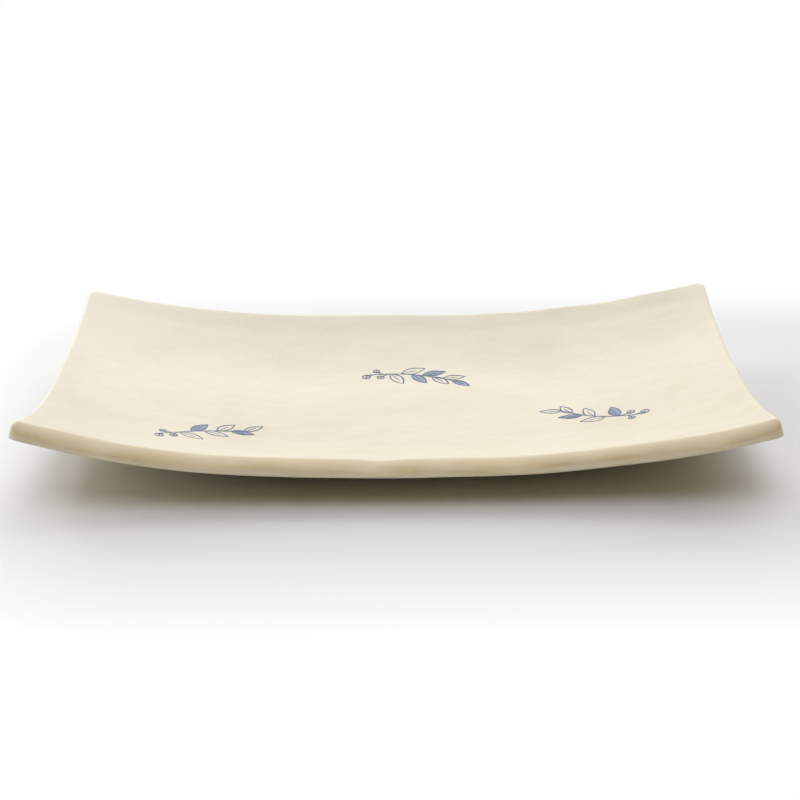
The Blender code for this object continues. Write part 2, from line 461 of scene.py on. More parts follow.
def add_layer(bm, upper, inside, rings=RIM_RINGS):
    """Make a layer's points, from the rim in to the given ring, or all of them."""
    bare = bm.verts.layers.float[BARED]
    point_at = face_layer_point if upper else under_layer_point
    points = {}
    for column in range(COLUMNS + 1):
        for row in range(ROWS + 1):
            ring, place, out = rim_place(column, row)
            if ring <= rings:
                vert = bm.verts.new(point_at(column, row, inside))
                if ring <= ARRIS_RINGS:
                    vert[bare] = how_bare(-ring / ARRIS_RINGS if upper else 1, place, out)
                points[column, row] = vert
    return points


def fill_cells(bm, points, rings=RIM_RINGS):
    """Fill the cells of a layer: all of them, or only those of the rim's outer rings."""
    for column in range(COLUMNS):
        for row in range(ROWS):
            ring = min(column, COLUMNS - 1 - column, row, ROWS - 1 - row)
            if rings == RIM_RINGS or ring < rings:
                around = ((0, 0), (1, 0), (1, 1), (0, 1))
                bm.faces.new([points[column + across, row + up] for across, up in around])


print(f"a whole layer has {(COLUMNS + 1) * (ROWS + 1)} points")

# %% [markdown]
# ## Lofts
#
# The edge between face and underside is a loft: rings of points joined like the hoops of a barrel.
# Blender's Bridge Edge Loops has to guess which points belong together. All rings here are walked in
# the same order, so each point is joined to the one with its own number.

# %% Lofts
def loft(bm, rings):
    """Join each ring of points to the next one."""
    for outer, inner in zip(rings, rings[1:]):
        for index in range(len(outer)):
            after = (index + 1) % len(outer)
            bm.faces.new((outer[index], outer[after], inner[after], inner[index]))


def add_wall(bm, face, underside, inside):
    """Join the rims of the face and the underside by the rings of the edge between them."""
    bare = bm.verts.layers.float[BARED]
    rings = [[face[point] for point in ring_walk(0)]]
    for step in range(1, WALL_STEPS):
        wall = []
        for point in ring_walk(0):
            wall.append(bm.verts.new(wall_point(*point, step / WALL_STEPS, inside)))
            wall[-1][bare] = how_bare(step / WALL_STEPS, *rim_place(*point)[1:])
        rings.append(wall)
    rings.append([underside[point] for point in ring_walk(0)])
    loft(bm, rings)


print(f"the edge is lofted in {WALL_STEPS} steps")

# %% [markdown]
# ## From a mesh to a piece of the plate
#
# A finished mesh becomes an object that rides on the plate's one body and stands for its CAD node,
# which is hidden. Smooth shading is right all over, because every corner of the plate is a modelled
# round. The distance to the CAD node is measured with a BVH tree, a sorted store of faces that finds
# the nearest one quickly.

# %% From a mesh to a piece of the plate
BODY = "root"


def finish_mesh(name, bm):
    """Turn the faces outwards, write the mesh and link it as a smooth object."""
    bmesh.ops.recalc_face_normals(bm, faces=bm.faces[:])
    mesh = bpy.data.meshes.new(name)
    bm.to_mesh(mesh)
    bm.free()
    mesh.shade_smooth()
    piece = bpy.data.objects.new(name, mesh)
    bpy.context.scene.collection.objects.link(piece)
    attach(piece, BODY)
    return piece


def farthest_from(piece, node):
    """Greatest distance from a piece's points to the surface of a CAD node, in metres."""
    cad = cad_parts[node].data
    faces = [tuple(face.vertices) for face in cad.polygons]
    tree = BVHTree.FromPolygons([vert.co for vert in cad.vertices], faces)
    return max(tree.find_nearest(vert.co)[3] for vert in piece.data.vertices)


def stand_for(piece, node):
    """Let a piece take a CAD node's place, and print how far it lies from it."""
    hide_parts(node)
    distance = farthest_from(piece, node) / MM
    print(f"{piece.name}: {len(piece.data.polygons)} faces, within {distance:.2f} mm of {node}")


print("pieces ride on", BODY)

# %% [markdown]
# ## The clay under the glaze
#
# The slab itself shows only on the bare foot in the middle of the underside. It could be a flat patch
# for the foot alone. A whole closed slab is no more work, because it is the same two layers and the
# same edge, a coat's thickness inside the finish.

# %% The clay under the glaze
bm = start_mesh()
face = add_layer(bm, True, COAT)
underside = add_layer(bm, False, COAT)
fill_cells(bm, face)
fill_cells(bm, underside)
add_wall(bm, face, underside, COAT)
stoneware_body = finish_mesh("stoneware_body", bm)
stand_for(stoneware_body, "clay_slab")

# %% [markdown]
# ## The coat of glaze on the face
#
# The plate is dipped, so the glaze covers the face, laps over the upper arris and runs down the edge
# and just under it. A Solidify modifier could thicken a copy of the face, but it can't follow the
# rounded edge and stop at a line under it. Two layers, one at the finished surface and one just
# clear of the clay, joined at the line where the coat ends, make one closed skin.

# %% The coat of glaze on the face
CLEAR_OF_CLAY = 0.02 * MM
seam = ring_walk(ARRIS_RINGS)
seams = []
bm = start_mesh()
for inside in (0.0, COAT - CLEAR_OF_CLAY):
    face = add_layer(bm, True, inside)
    underside = add_layer(bm, False, inside, ARRIS_RINGS)
    fill_cells(bm, face)
    fill_cells(bm, underside, ARRIS_RINGS)
    add_wall(bm, face, underside, inside)
    seams.append([underside[point] for point in seam])
loft(bm, seams)
glazed_face = finish_mesh("glazed_face", bm)
stand_for(glazed_face, "face_glaze")

# %% [markdown]
# ## The line where the glaze is wiped off
#
# Underneath, the glaze is wiped off the middle before firing, or the plate would stick to the kiln
# shelf. The wiped line is a loose rounded rectangle, drawn with a sponge. It could be a curve object,
# but a rectangle with round corners and a little wander is only a few numbers.

# %% The line where the glaze is wiped off
FOOT_LENGTH = 103.0 * MM
FOOT_WIDTH = 78.0 * MM
FOOT_CORNER = 20.0 * MM
FOOT_WANDER = 1.6 * MM
FOOT_WANDER_LENGTH = 22.0 * MM


def foot_line(x, y):
    """Place on the wiped line that lies inwards of a place on the plate's rim."""
    side = Vector((half_of(x), half_of(y)))
    place = Vector((x / LENGTH * FOOT_LENGTH, y / WIDTH * FOOT_WIDTH))
    centre = side * Vector((FOOT_LENGTH / 2 - FOOT_CORNER, FOOT_WIDTH / 2 - FOOT_CORNER))
    out = place - centre
    if out.x * side.x > 0 and out.y * side.y > 0:
        place = centre + FOOT_CORNER * out.normalized()
    return place * (1 + FOOT_WANDER * wander(place.x, place.y, FOOT_WANDER_LENGTH, 11) / place.length)


print("wiped line at the right end:", round(foot_line(LENGTH / 2, 0.0).x / MM, 1), "mm from the middle")

# %% [markdown]
# ## The coat of glaze on the back
#
# The back coat reaches from the wiped line out to the seam under the edge. Cutting the foot out of a
# grid with a Boolean would leave slivers along the line. Lofting rings from the line to the seam needs
# no cut, and the first few rings let the coat run out in a soft step.

# %% The coat of glaze on the back
RUN_OUT_SHARE = 0.03
RUN_OUT_STEPS = 4
BACK_STEPS = 18
LEAST_COAT = 0.10 * MM
BARE_AT_SEAM = 0.75
BARE_AT_FOOT = 0.40


def back_ring(bm, share, height):
    """One ring of the back coat, by its share of the way from the wiped line to the seam."""
    bare = bm.verts.layers.float[BARED]
    verts = []
    for point in seam:
        place, out = rim_place(*point)[1:]
        at_seam = place - lower_round(place) * out
        plan = foot_line(at_seam.x, at_seam.y).lerp(at_seam, share)
        vert = bm.verts.new(slab_point(plan.x, plan.y, height))
        vert[bare] = BARE_AT_SEAM - (BARE_AT_SEAM - BARE_AT_FOOT) * math.cos(share * math.pi / 2)
        verts.append(vert)
    return verts


def back_layer(bm, thickness, least):
    """Rings of the back coat from the wiped line, where it is least thick, out to the seam."""
    steps = [RUN_OUT_SHARE * step / RUN_OUT_STEPS for step in range(RUN_OUT_STEPS)]
    steps += [RUN_OUT_SHARE + (1 - RUN_OUT_SHARE) * step / BACK_STEPS for step in range(BACK_STEPS + 1)]
    rings = []
    for share in steps:
        grown = min(1.0, share / RUN_OUT_SHARE)
        thick = least + (thickness - least) * math.sqrt(1 - (1 - grown) ** 2)
        rings.append(back_ring(bm, share, -thick))
    return rings


bm = start_mesh()
outer = back_layer(bm, COAT, LEAST_COAT)
inner = back_layer(bm, CLEAR_OF_CLAY, CLEAR_OF_CLAY)
loft(bm, outer + inner[::-1] + outer[:1])
glazed_back = finish_mesh("glazed_back", bm)
stand_for(glazed_back, "back_glaze")

# %% [markdown]
# ## Fields that the finishes are made of
#
# A finish is easiest to read as a few named fields, such as soft clouds. They can be wired by hand in
# the shader editor, but the finishes here share them, so each field is a helper that adds its nodes
# and hands back their output. Fields read the object's own coordinates, in metres.

# %% Fields that the finishes are made of
def new_finish(name):
    """A new material with its node tree."""
    material = bpy.data.materials.new(name)
    material.use_nodes = True
    return material, material.node_tree


def add_node(tree, kind, inputs=None, **settings):
    """Add a node, set its properties, and link its inputs to fields or set them to values."""
    node = tree.nodes.new(kind)
    for setting, value in settings.items():
        setattr(node, setting, value)
    for name, value in (inputs or {}).items():
        if isinstance(value, bpy.types.NodeSocket):
            tree.links.new(value, node.inputs[name])
        else:
            node.inputs[name].default_value = value
    return node


def feed_surface(tree, name, field):
    """Let a field drive an input of the surface."""
    tree.links.new(field, tree.nodes["Principled BSDF"].inputs[name])


def own_place(tree):
    """Where a point lies on its object, in metres."""
    return add_node(tree, "ShaderNodeTexCoord").outputs["Object"]


def cloud_field(tree, size, stretch=(1, 1, 1), detail=3.0):
    """Noise whose clouds are this size, or longer where stretch is less than 1."""
    mapping = add_node(tree, "ShaderNodeMapping", {"Vector": own_place(tree), "Scale": stretch})
    inputs = {"Vector": mapping.outputs["Vector"], "Scale": 1 / size, "Detail": detail}
    return add_node(tree, "ShaderNodeTexNoise", inputs).outputs["Fac"]


print("a field starts as clouds of a given size")

# %% [markdown]
# ## Joining fields
#
# Noise seldom uses its whole range, so a field is stretched to the range that is wanted. Then fields
# are joined by sums, and colours are blended by a field. Color Ramp nodes would do both at once, but
# two numbers are easier to read and to change than the stops of a ramp.

# %% Joining fields
FIRST_COLOUR, SECOND_COLOUR, MIXED_COLOUR = 6, 7, 2


def ranged(tree, value, low, high, to_low=0.0, to_high=1.0):
    """Stretch the part of a field between low and high to a new range."""
    inputs = {"Value": value, "From Min": low, "From Max": high, "To Min": to_low, "To Max": to_high}
    return add_node(tree, "ShaderNodeMapRange", inputs).outputs["Result"]


def joined(tree, operation, first, second):
    """Join two fields, or a field and a number, by sums."""
    sums = add_node(tree, "ShaderNodeMath", {0: first, 1: second}, operation=operation)
    return sums.outputs["Value"]


def blended(tree, share, first, second):
    """Blend two colours, or fields of colour, by a field."""
    first, second = [(*tone, 1.0) if isinstance(tone, tuple) else tone for tone in (first, second)]
    inputs = {"Factor": share, FIRST_COLOUR: first, SECOND_COLOUR: second}
    return add_node(tree, "ShaderNodeMix", inputs, data_type="RGBA").outputs[MIXED_COLOUR]


print("fields can be ranged, joined and blended")

# %% [markdown]
# ## Specks and bumps
#
# Stoneware has iron specks and grains of grog at random places. Each could be a small mesh, but there
# are thousands. A Voronoi texture has loose cells, and a speck is drawn in a share of them. A bump
# turns the surface's normals, which is enough for an unevenness of a tenth of a millimetre.

# %% Specks and bumps
SPECK_CORE = 0.4


def speck_field(tree, spacing, size, share):
    """Small round specks at random places: a share of the cells of a loose pattern has one each."""
    cells = add_node(tree, "ShaderNodeTexVoronoi", {"Vector": own_place(tree), "Scale": 1 / spacing})
    near = ranged(tree, cells.outputs["Distance"], size / spacing, SPECK_CORE * size / spacing)
    picked = joined(tree, "LESS_THAN", cells.outputs["Color"], share)
    return joined(tree, "MULTIPLY", near, picked)


def add_bump(tree, height, strength, distance):
    """Let a height field turn the surface's normals a little."""
    inputs = {"Strength": strength, "Distance": distance, "Height": height}
    feed_surface(tree, "Normal", add_node(tree, "ShaderNodeBump", inputs).outputs["Normal"])


print(f"a speck is solid over {SPECK_CORE:.0%} of its radius")

# %% [markdown]
# ## Where the glaze lies thick, and painted light
#
# The glaze is a satin cream, and paler where it lies thick: in soft clouds and in faint streaks from
# the brush or the dip. It is also painted paler towards the back left corner and darker towards the
# front right. This is painted light, where the lamps light the back too little and the right end too
# much.
# One flat colour would look like plastic, and each of these is one field.

# %% Where the glaze lies thick, and painted light
CLOUD_SIZE = 38.0 * MM
STREAK_SIZE = 4.0 * MM
STREAK_SHAPE = (0.25, 1, 1)
STREAK_STRENGTH = 0.45
GRAIN_SIZE = 0.9 * MM
GRAIN_STRENGTH = 0.6
UNEVEN_SHARE = 0.4
# Painted light: way, reach and range of the lightening towards the back left corner.
PAINTED_LIGHT_WAY = (-0.45, 1.0, 0.0)
PAINTED_LIGHT_REACH = 119.0 * MM
PAINTED_LIGHT_LOW = -0.52
PAINTED_LIGHT_HIGH = 0.68


def painted_light_to_back_left(tree):
    """Painted light: a field that grows to the back left corner, paler there and darker to the front
    right.
    """
    inputs = {0: own_place(tree), 1: PAINTED_LIGHT_WAY}
    along = add_node(tree, "ShaderNodeVectorMath", inputs, operation="DOT_PRODUCT")
    return ranged(tree, along.outputs["Value"], -PAINTED_LIGHT_REACH, PAINTED_LIGHT_REACH, PAINTED_LIGHT_LOW, PAINTED_LIGHT_HIGH)


def cream_and_painted_light(tree, cream, thick_and_lit_cream):
    """Cream that turns paler where the coat lies thick, and paler towards the back left as painted
    light.
    """
    clouds = ranged(tree, cloud_field(tree, CLOUD_SIZE, detail=4.0), 0.32, 0.68)
    streaks = cloud_field(tree, STREAK_SIZE, STREAK_SHAPE)
    streaks = ranged(tree, streaks, 0.35, 0.65, 0.0, STREAK_STRENGTH)
    grain = ranged(tree, cloud_field(tree, GRAIN_SIZE), 0.3, 0.7, 0.0, GRAIN_STRENGTH)
    thick = joined(tree, "ADD", joined(tree, "ADD", clouds, streaks), grain)
    thick = joined(tree, "MULTIPLY", thick, UNEVEN_SHARE)
    # Painted light: paler towards the back left, darker towards the front right.
    thick = joined(tree, "ADD", thick, painted_light_to_back_left(tree))
    return blended(tree, ranged(tree, thick, 0.0, 1.0), cream, thick_and_lit_cream)


print(f"streaks {STREAK_SIZE / STREAK_SHAPE[0] / MM:.0f} mm long and {STREAK_SIZE / MM:.0f} mm wide")

# %% [markdown]
# ## The cream glaze
#
# Along the edges the glaze runs thin and shows the clay, buff and in places toasted, and a few iron
# specks burn through. The toast on the fold of the front edge is partly painted shade. The shine
# could be a single number, but a dry patch here and there is what makes a satin glaze look like
# one, so the roughness varies in clouds of its own.

# %% The cream glaze
IRON_SPECK = (0.26, 0.17, 0.09)
SPECK_SPACING = 7.0 * MM
SPECK_SIZE = 0.32 * MM
SPECK_SHARE = 0.16
PATCH_SIZE = 2.6 * MM
PATCH_SHAPE = (0.15, 1, 1)
TOAST_SIZE = 11.0 * MM
SHEEN_SIZE = 16.0 * MM
DIMPLE_SIZE = 2.2 * MM
BRUSH_MARK_SIZE = 6.0 * MM
BRUSH_MARK_SHAPE = (0.3, 1, 1)
GLAZE_BUMP = 0.22
GLAZE_DEPTH = 0.12 * MM
GLAZE_SHINE = 0.35


def thin_edges(tree, colour, buff, toasted):
    """Let the clay show, buff or toasted, where the glaze has run thin; the toast on the fold is partly
    painted shade.
    """
    thin = add_node(tree, "ShaderNodeAttribute", attribute_name=BARED).outputs["Fac"]
    patches = ranged(tree, cloud_field(tree, PATCH_SIZE, PATCH_SHAPE), 0.32, 0.68, 0.76, 1.0)
    toast_and_fold_shade = ranged(tree, cloud_field(tree, TOAST_SIZE), 0.35, 0.65, 0.45, 1.0)
    # Partly painted shade: the toasted tone is kept to the fold of the front edge.
    toast_and_fold_shade = joined(tree, "MULTIPLY", toast_and_fold_shade, ranged(tree, thin, 0.5, 1.0))
    clay_tone = blended(tree, toast_and_fold_shade, buff, toasted)
    return blended(tree, joined(tree, "MULTIPLY", thin, patches), colour, clay_tone)


def cream_glaze(name, cream, thick_and_lit_cream, buff, toasted, roughness):
    """A satin glaze with clouds, streaks, specks, painted light to the back left and edges where it runs
    thin.
    """
    material, tree = new_finish(name)
    colour = thin_edges(tree, cream_and_painted_light(tree, cream, thick_and_lit_cream), buff, toasted)
    specks = speck_field(tree, SPECK_SPACING, SPECK_SIZE, SPECK_SHARE)
    feed_surface(tree, "Base Color", blended(tree, specks, colour, IRON_SPECK))
    tree.nodes["Principled BSDF"].inputs["Specular IOR Level"].default_value = GLAZE_SHINE
    sheen = ranged(tree, cloud_field(tree, SHEEN_SIZE), 0.3, 0.7, roughness - 0.05, roughness + 0.07)
    feed_surface(tree, "Roughness", sheen)
    dimples = cloud_field(tree, DIMPLE_SIZE)
    dimples = joined(tree, "ADD", dimples, cloud_field(tree, BRUSH_MARK_SIZE, BRUSH_MARK_SHAPE))
    add_bump(tree, dimples, GLAZE_BUMP, GLAZE_DEPTH)
    print(f"{name}: {len(tree.nodes)} nodes")
    return material


face_cream = cream_glaze(
    "cream_face_glaze",
    cream=(0.79, 0.715, 0.57),
    thick_and_lit_cream=(0.94, 0.875, 0.735),
    buff=(0.82, 0.67, 0.40),
    toasted=(0.63, 0.485, 0.25),
    roughness=0.50,
)
back_cream = cream_glaze(
    "cream_back_glaze",
    cream=(0.67, 0.54, 0.28),
    thick_and_lit_cream=(0.72, 0.59, 0.33),
    buff=(0.64, 0.49, 0.23),
    toasted=(0.60, 0.44, 0.20),
    roughness=0.52,
)
glazed_face.data.materials.append(face_cream)
glazed_back.data.materials.append(back_cream)

# %% [markdown]
# ## The bare stoneware
#
# Where the glaze is wiped off, the fired clay is dry and matt, a sandy buff with fine grog, the
# crushed fired clay that keeps a slab from warping. A smooth brown would look like plastic. Two
# sizes of grain in the colour, and the same grains as bumps, read as sand at any distance.

# %% The bare stoneware
CLAY_TONES = ((0.56, 0.44, 0.28), (0.63, 0.52, 0.36))
SAND_TONE = (0.44, 0.33, 0.20)
GROG_TONE = (0.30, 0.20, 0.11)
BODY_CLOUD_SIZE = 22.0 * MM
SAND_SIZE = 0.8 * MM
SAND_SHARE = 0.35
SAND_BUMP = 0.5
SAND_DEPTH = 0.15 * MM
GROG_SPACING = 2.4 * MM
GROG_SIZE = 0.35 * MM
GROG_SHARE = 0.35

clay, tree = new_finish("bare_stoneware")
body_clouds = ranged(tree, cloud_field(tree, BODY_CLOUD_SIZE), 0.3, 0.7)
sand = ranged(tree, cloud_field(tree, SAND_SIZE), 0.35, 0.65)
clay_colour = blended(tree, body_clouds, *CLAY_TONES)
clay_colour = blended(tree, joined(tree, "MULTIPLY", sand, SAND_SHARE), clay_colour, SAND_TONE)
grog = speck_field(tree, GROG_SPACING, GROG_SIZE, GROG_SHARE)
clay_colour = blended(tree, grog, clay_colour, GROG_TONE)
feed_surface(tree, "Base Color", clay_colour)
feed_surface(tree, "Roughness", ranged(tree, sand, 0.0, 1.0, 0.78, 0.92))
add_bump(tree, joined(tree, "ADD", sand, grog), SAND_BUMP, SAND_DEPTH)
stoneware_body.data.materials.append(clay)
print(f"bare_stoneware: {len(tree.nodes)} nodes")

# %% [markdown]
# ## A brush stroke
#
# The decoration is painted with a fine brush in cobalt blue and lies in the glaze. It could be drawn
# in the material, but a stroke made of shader nodes is hard to steer and blurs in an export. Here it
# is a thin ribbon on the face, a few hundredths of a millimetre proud. Its width swells and tapers as
# the brush is pressed and lifted, and each point keeps how much paint lies there.

# %% A brush stroke
INK = "paint_load"
PROUD = 0.03 * MM
SUNK = 0.06 * MM
STROKE_LAYER = 0.002 * MM
LIGHT_PRESS = 0.45
PRESS_WANDER = 0.30
PRESS_LENGTH = 2.5 * MM
PAINT_AT_START = 0.80
PAINT_GAIN = 0.35
PAINT_WANDER = 0.5
PAINT_LENGTH = 4.0 * MM


def on_face(spot, lift):
    """Point of the finished face at a plan place, lifted by this much."""
    return slab_point(spot.x, spot.y, face_height(spot.x, spot.y) + lift)


def paint_stroke(bm, spots, width, load, order):
    """Lay one stroke along plan places: as wide as given, pressed in its middle, thin at its ends."""
    ink = bm.verts.layers.float[INK]
    lift = PROUD + STROKE_LAYER * order
    last = len(spots) - 1
    rows = []
    for index, spot in enumerate(spots):
        ahead = spots[min(index + 1, last)] - spots[max(index - 1, 0)]
        across = Vector((-ahead.y, ahead.x)).normalized()
        share = index / last
        press = LIGHT_PRESS + (1 - LIGHT_PRESS) * math.sin(math.pi * (0.12 + 0.80 * share)) ** 0.7
        press *= 1 + PRESS_WANDER * wander(spot.x, spot.y, PRESS_LENGTH, 12 + order)
        reach = across * width / 2 * press
        row = [on_face(spot + reach, lift), on_face(spot - reach, lift)]
        row += [on_face(spot - reach, -SUNK), on_face(spot + reach, -SUNK)]
        rows.append([bm.verts.new(point) for point in row])
        wet = PAINT_AT_START + PAINT_GAIN * share
        wet += PAINT_WANDER * wander(spot.x, spot.y, PAINT_LENGTH, 40 + order)
        for vert in rows[-1]:
            vert[ink] = load * wet
    loft(bm, rows)
    bm.faces.new(rows[0][::-1])
    bm.faces.new(rows[-1])


print(f"a stroke stands {PROUD / MM:.2f} mm proud of the glaze")

# %% [markdown]
# ## A leaf
#
# The motif is a plain sprig of leaves with a few berries, a stock pattern of painted pottery. Each
# leaf is two curved strokes from stem to tip and a short vein, and some leaves are filled with a
# thin wash. Curves could be drawn by hand with Blender's curve objects, but a leaf is only a length,
# a width and a direction, so a formula draws them all.

# %% A leaf
LINE = 0.58 * MM
LEAF_POINTS = 15
LEAF_DROOP = 0.10
BELLY_BACK = 0.85
VEIN_POINTS = 10
WASH_LOAD = 0.30


def turned(spot, angle):
    """Turn a plan vector."""
    return Matrix.Rotation(angle, 2) @ spot


def leaf_side(base, angle, length, width, side):
    """Places along one side of a leaf, from its base to its tip."""
    spots = []
    for index in range(LEAF_POINTS):
        share = index / (LEAF_POINTS - 1)
        belly = math.sin(math.pi * share**BELLY_BACK) * width / 2
        droop = LEAF_DROOP * length * share**2
        spots.append(base + turned(Vector((length * share, side * belly - droop)), angle))
    return spots


def paint_wash(bm, outline, load):
    """Fill an outline of plan places with a thin closed wash."""
    ink = bm.verts.layers.float[INK]
    tops = [bm.verts.new(on_face(spot, 0.6 * PROUD)) for spot in outline]
    bottoms = [bm.verts.new(on_face(spot, -SUNK)) for spot in outline]
    for vert, spot in zip(tops + bottoms, outline + outline):
        vert[ink] = load * (1 + 0.8 * wander(spot.x, spot.y, 3 * MM, 60))
    bm.faces.new(tops)
    bm.faces.new(bottoms[::-1])
    loft(bm, [tops, bottoms])


def paint_leaf(bm, base, angle, length, width, filled, order):
    """Paint a leaf: two sides, a vein and, if filled, a wash between the sides."""
    upper = leaf_side(base, angle, length, width, 1)
    lower = leaf_side(base, angle, length, width, -1)
    middle = [(above + below) / 2 for above, below in zip(upper, lower)]
    if filled:
        paint_wash(bm, upper + lower[-2:0:-1], WASH_LOAD)
    paint_stroke(bm, upper, LINE, 0.85, order)
    paint_stroke(bm, lower, LINE, 0.75, order + 1)
    paint_stroke(bm, middle[:VEIN_POINTS], 0.7 * LINE, 0.6, order + 2)


print(f"lines are {LINE / MM:.2f} mm wide")

# %% [markdown]
# ## A berry
#
# A berry is a ring that the brush closes a little past its start, with a dot of paint in it. A torus
# and a disc would close it exactly, which a brush never does.

# %% A berry
RING_POINTS = 20
RING_OVERLAP = 2
BERRY_DOT = 0.35


def paint_berry(bm, centre, radius, order):
    """Paint a berry. Its ring starts at another angle for each order number."""
    spots = []
    for index in range(RING_POINTS + RING_OVERLAP):
        angle = index / RING_POINTS * 2 * math.pi + order
        spots.append(centre + radius * Vector((math.cos(angle), math.sin(angle))))
    paint_stroke(bm, spots, 0.85 * LINE, 0.85, order)
    outline = [centre + BERRY_DOT * (spot - centre) for spot in spots[:RING_POINTS]]
    paint_wash(bm, outline, 0.9)


print(f"a berry's ring has {RING_POINTS + RING_OVERLAP} points")

# %% [markdown]
# ## Three sprigs on the plate
#
# Three sprigs are set out loosely, and most of the face stays empty. They could be copies of one mesh,
# but a copy would not follow the bend of the plate and would repeat every wobble of the brush. Each
# sprig is painted afresh at its own place.

# %% Three sprigs on the plate
STEM_POINTS = 25
STEM_BOW = 0.10
FIRST_LEAF = 0.26
LEAVES_SPAN = 0.66
LEAF_SLIMNESS = 0.42
BERRIES = ((0.10, 2.6 * MM), (0.17, -2.9 * MM), (0.02, -1.9 * MM))
STALK_ORDER = 40
BERRY_ORDER = 44


def paint_sprig(name, middle, turn, length, leaves, filled):
    """Paint a sprig: a bowed stem with leaves on alternate sides and berries towards its foot."""
    bm = bmesh.new()
    bm.verts.layers.float.new(INK)

    def spot_at(share, off=0.0):
        """Place at a share of the stem's length, or beside it."""
        bow = STEM_BOW * length * math.sin(math.pi * share)
        return middle + turned(Vector((length * (share - 0.5), bow + off)), turn)

    stem = [spot_at(index / (STEM_POINTS - 1)) for index in range(STEM_POINTS)]
    paint_stroke(bm, stem, 1.1 * LINE, 0.9, 0)
    for leaf in range(leaves):
        share = FIRST_LEAF + LEAVES_SPAN * leaf / (leaves - 1)
        side = 1 if leaf % 2 else -1
        lean = turn + side * (0.95 - 0.55 * share)
        size = length * (0.30 - 0.07 * share)
        paint_leaf(bm, spot_at(share), lean, size, LEAF_SLIMNESS * size, leaf in filled, 3 * leaf + 1)
    for berry, (share, off) in enumerate(BERRIES):
        centre = spot_at(share, off)
        stalk = [spot_at(share + 0.08), (spot_at(share + 0.04) + centre) / 2, centre]
        paint_stroke(bm, stalk, 0.6 * LINE, 0.7, STALK_ORDER)
        paint_berry(bm, centre, (1.15 + 0.15 * berry) * MM, BERRY_ORDER + berry)
    sprig = finish_mesh(name, bm)
    print(f"{name}: {len(sprig.data.polygons)} faces")
    return sprig


sprigs = [
    paint_sprig("sprig_left", Vector((-68 * MM, -30 * MM)), 0.42, 36 * MM, 6, (1, 4)),
    paint_sprig("sprig_back", Vector((6 * MM, 33 * MM)), -0.20, 37 * MM, 7, (2, 3, 6)),
    paint_sprig("sprig_right", Vector((74 * MM, -14 * MM)), 2.62, 35 * MM, 6, (0, 3)),
]

# %% [markdown]
# ## The blue of the brushwork
#
# Cobalt under a satin glaze is a soft slate blue where the brush ran dry and almost navy where the
# paint pooled. One flat blue would look printed. The number that each point of a stroke keeps
# chooses between three blues, and a fine grain breaks it up as the glaze does.

# %% The blue of the brushwork
DRY_BLUE = (0.40, 0.45, 0.52)
WET_BLUE = (0.115, 0.165, 0.30)
POOLED_BLUE = (0.030, 0.045, 0.125)

blue, tree = new_finish("blue_brushwork")
load = add_node(tree, "ShaderNodeAttribute", attribute_name=INK)
grain = ranged(tree, cloud_field(tree, 0.7 * MM), 0.3, 0.7, -0.18, 0.18)
depth = joined(tree, "ADD", load.outputs["Fac"], grain)
wash = blended(tree, ranged(tree, depth, 0.05, 0.55), DRY_BLUE, WET_BLUE)
paint = blended(tree, ranged(tree, depth, 0.55, 1.15), wash, POOLED_BLUE)
feed_surface(tree, "Base Color", paint)
feed_surface(tree, "Roughness", ranged(tree, cloud_field(tree, 5 * MM), 0.3, 0.7, 0.36, 0.46))
for sprig in sprigs:
    sprig.data.materials.append(blue)
print(f"blue_brushwork: {len(tree.nodes)} nodes on {len(sprigs)} sprigs")

# %% [markdown]
# ## The table
#
# The plate stands on a pale table without an edge, which a studio makes with a curved sheet of paper.
# Here it is one large plane. Close to the plate it is an ordinary matt surface, which takes the
# shadow. Farther off the camera sees it fade to plain white, so no horizon shows. Only rays that show
# it see that white, so it throws no extra light on the plate.

# %% The table
TABLE_HALF = 6.0
TABLE_GAP = 0.05 * MM
bpy.ops.mesh.primitive_grid_add(x_subdivisions=8, y_subdivisions=8, size=2 * TABLE_HALF)
table = bpy.context.object
table.name = "table"
table.location.z = -TABLE_GAP
table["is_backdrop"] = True


def seen_directly(tree):
    """A field that is 1 for rays that show a thing to the camera, and 0 for those that only light it."""
    path = add_node(tree, "ShaderNodeLightPath")
    seen = joined(tree, "ADD", path.outputs["Is Camera Ray"], path.outputs["Is Glossy Ray"])
    seen = joined(tree, "ADD", seen, path.outputs["Is Transmission Ray"])
    return ranged(tree, seen, 0.0, 1.0)


print(f"table {2 * TABLE_HALF:.0f} m wide")

# %% [markdown]
# ## The table's finish
#
# The fade needs the distance from the plate. A radial gradient would fade too soon at the ends, so the
# distance is counted from the plate's rectangle, moved a little to the right, where the shade is. The
# move brings the white close to the left end, where it covers part of the plate's shadow as
# painted light.

# %% The table's finish
TABLE_TONES = ((0.765, 0.767, 0.777), (0.785, 0.787, 0.797))
TABLE_CLOUDS = 0.5
TABLE_ROUGHNESS = 0.75
FADE_START = 28.0 * MM
FADE_END = 85.0 * MM
# Painted light: this shift lets the white fade cover part of the shadow at the left end.
SHIFT_THAT_WHITENS_LEFT_SHADOW = 48.0 * MM


def away_from_plate(tree):
    """Distance over the table from the plate's rectangle, moved a little to the right, which whitens
    part of the shadow at the left.
    """
    steps = (
        ("SUBTRACT", (SHIFT_THAT_WHITENS_LEFT_SHADOW, 0, 0)),
        ("ABSOLUTE", None),
        ("SUBTRACT", (LENGTH / 2, WIDTH / 2, 1)),
        ("MAXIMUM", (0, 0, 0)),
        ("LENGTH", None),
    )
    away = own_place(tree)
    for operation, amount in steps:
        inputs = {0: away, 1: amount} if amount else {0: away}
        node = add_node(tree, "ShaderNodeVectorMath", inputs, operation=operation)
        away = node.outputs["Value" if operation == "LENGTH" else "Vector"]
    return away


